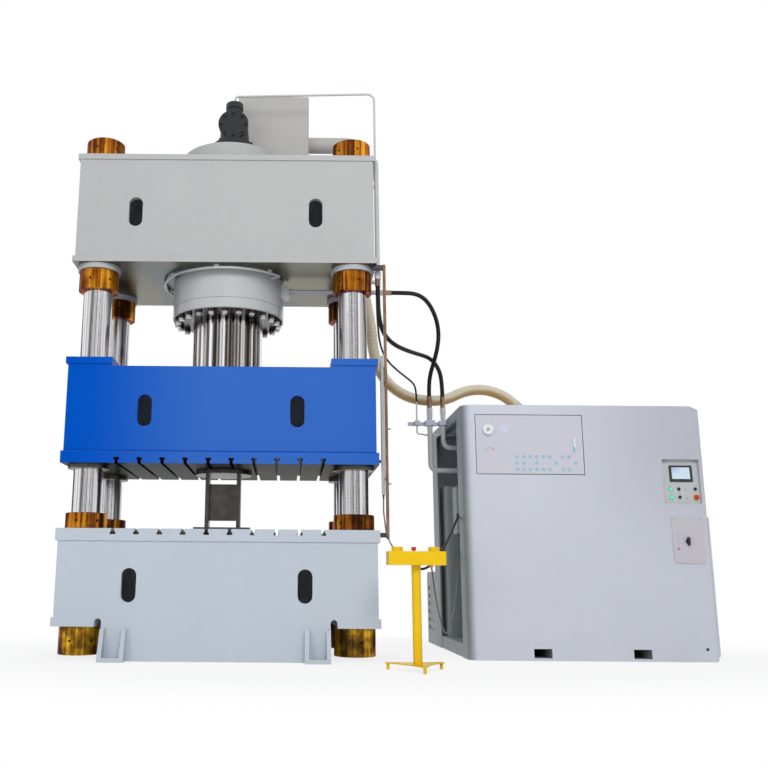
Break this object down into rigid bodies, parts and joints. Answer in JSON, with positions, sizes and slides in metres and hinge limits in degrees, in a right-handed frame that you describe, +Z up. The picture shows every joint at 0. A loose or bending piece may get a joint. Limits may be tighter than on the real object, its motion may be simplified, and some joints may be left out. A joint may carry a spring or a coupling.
{
  "type": "hydraulic press",
  "caption": "Four-column hydraulic press with a slotted table and slide, overhead cylinder, side power unit with control panel, and a two-hand pedestal.",
  "frame": {"origin": "on the floor under the press axis, in the middle of the four columns", "axes": "+Z up along the ram, +X to the press's right as the operator faces it, towards the power unit, +Y to the rear"},
  "size_m": [5.494, 3.3685, 5.39],
  "materials": {
    "crosshead_paint": "semi-gloss warm light grey",
    "bed_paint": "semi-gloss blue grey",
    "slide_paint": "semi-gloss blue",
    "chrome": "hard chrome, polished",
    "nut_lacquer": "machined steel under brown lacquer",
    "bronze": "turned bronze",
    "dark_paint": "dark primer",
    "screw_steel": "plain steel",
    "valve_casting": "black painted casting",
    "tank_paint": "semi-gloss light grey",
    "pipe_steel": "zinc plated",
    "ferrule_brass": "copper coloured plating",
    "sensor_aluminium": "anodised",
    "cabinet_paint": "powder coat, pale blue grey",
    "motor_paint": "motor enamel",
    "pump_iron": "cast iron",
    "breaker_paint": "powder coat",
    "yellow_paint": "gloss yellow",
    "screen_plastic": "black screen and frame",
    "black_plastic": "black",
    "gauge_white": "white dial in a pale case",
    "button_red": "red",
    "button_green": "green",
    "hose_rubber": "matt black",
    "suction_vinyl": "ribbed translucent vinyl, beige"
  },
  "bodies": {
    "press": {"crosshead": "crosshead_paint", "cylinder_barrel": "crosshead_paint", "cylinder_gland": "crosshead_paint", "cylinder_nut": "crosshead_paint", "bed": "bed_paint", "columns": "chrome", "upper_column_nuts": "nut_lacquer", "lower_column_nuts": "nut_lacquer", "rod_bush": "bronze", "support_stand": "dark_paint", "scale_brackets": "dark_paint", "gland_screws": "screw_steel", "prefill_valve": "valve_casting", "header_tank": "tank_paint", "header_pipe": "tank_paint", "upper_pressure_pipe": "pipe_steel", "lower_pressure_pipe": "pipe_steel", "small_pipes": "pipe_steel", "riser_pipes": "pipe_steel", "hose_ferrules": "ferrule_brass", "scale_bar": "ferrule_brass", "position_sensor": "sensor_aluminium", "clamp_rail": "sensor_aluminium", "cabinet_frame": "cabinet_paint", "front_panel": "cabinet_paint", "cabinet_panels": "cabinet_paint", "oil_tank": "cabinet_paint", "oil_cooler": "cabinet_paint", "control_console": "cabinet_paint", "terminal_box": "cabinet_paint", "electric_motor": "motor_paint", "hydraulic_pump": "pump_iron", "valve_manifold": "pump_iron", "breaker_panel": "breaker_paint", "pedestal_stand": "yellow_paint", "pedestal_box": "yellow_paint", "touch_screen": "screen_plastic", "pressure_hose_lower": "hose_rubber", "pressure_hose_upper": "hose_rubber", "pilot_hose": "hose_rubber", "pedestal_cable": "hose_rubber", "sensor_cable": "hose_rubber", "suction_hose": "suction_vinyl"},
    "slide": {"slide": "slide_paint", "ram": "chrome", "guide_bushes": "bronze", "sensor_magnet": "black_plastic"},
    "gauge_door": {"gauge_door": "cabinet_paint", "pressure_gauge": "gauge_white"},
    "door_handle": {"door_handle": "black_plastic"},
    "start_button_upper": {"start_button_upper": "button_green"},
    "start_button_lower": {"start_button_lower": "button_green"},
    "selector_upper": {"selector_upper": "black_plastic"},
    "selector_lower": {"selector_lower": "black_plastic"},
    "selector_right": {"selector_right": "black_plastic"},
    "panel_stop_button": {"panel_stop_button": "button_red"},
    "breaker_handle": {"breaker_handle": "black_plastic"},
    "palm_button_left": {"palm_button_left": "button_green"},
    "palm_button_right": {"palm_button_right": "button_green"},
    "pedestal_stop_button": {"pedestal_stop_button": "button_red"}
  },
  "joints": [
    {"name": "slide_stroke", "type": "slide", "parent": "press", "child": "slide", "axis": [0, 0, 1], "range_m": [0, 0.5]},
    {"name": "gauge_door_hinge", "type": "hinge", "parent": "press", "child": "gauge_door", "pos_m": [2.204, -0.293, 1.806], "axis": [0, 0, -1], "range_deg": [0, 110]},
    {"name": "door_handle_pivot", "type": "hinge", "parent": "gauge_door", "child": "door_handle", "pos_m": [3.05, -0.3, 1.855], "axis": [0, 1, 0], "range_deg": [0, 90]},
    {"name": "start_button_upper_press", "type": "slide", "parent": "press", "child": "start_button_upper", "axis": [0, 0.9981, -0.061], "range_m": [0, 0.004], "stiffness_N_per_m": 400, "springref_m": -0.005},
    {"name": "start_button_lower_press", "type": "slide", "parent": "press", "child": "start_button_lower", "axis": [0, 0.9981, -0.061], "range_m": [0, 0.004], "stiffness_N_per_m": 400, "springref_m": -0.005},
    {"name": "selector_upper_turn", "type": "hinge", "parent": "press", "child": "selector_upper", "pos_m": [3.938, -0.26605, 1.431], "axis": [0, -0.9981, 0.061], "range_deg": [-45, 45]},
    {"name": "selector_lower_turn", "type": "hinge", "parent": "press", "child": "selector_lower", "pos_m": [3.941, -0.27033, 1.361], "axis": [0, -0.9981, 0.061], "range_deg": [-45, 45]},
    {"name": "selector_right_turn", "type": "hinge", "parent": "press", "child": "selector_right", "pos_m": [4.08, -0.26599, 1.432], "axis": [0, -0.9981, 0.061], "range_deg": [-45, 45]},
    {"name": "panel_stop_press", "type": "slide", "parent": "press", "child": "panel_stop_button", "axis": [0, 0.9981, -0.061], "range_m": [0, 0.005]},
    {"name": "breaker_handle_turn", "type": "hinge", "parent": "press", "child": "breaker_handle", "pos_m": [3.965, -0.31, 0.986], "axis": [0, -1, 0], "range_deg": [0, 90]},
    {"name": "palm_button_left_press", "type": "slide", "parent": "press", "child": "palm_button_left", "axis": [0, 0, -1], "range_m": [0, 0.006], "stiffness_N_per_m": 500, "springref_m": -0.004},
    {"name": "palm_button_right_press", "type": "slide", "parent": "press", "child": "palm_button_right", "axis": [0, 0, -1], "range_m": [0, 0.006], "stiffness_N_per_m": 500, "springref_m": -0.004},
    {"name": "pedestal_stop_press", "type": "slide", "parent": "press", "child": "pedestal_stop_button", "axis": [0, 0, -1], "range_m": [0, 0.006]}
  ]
}
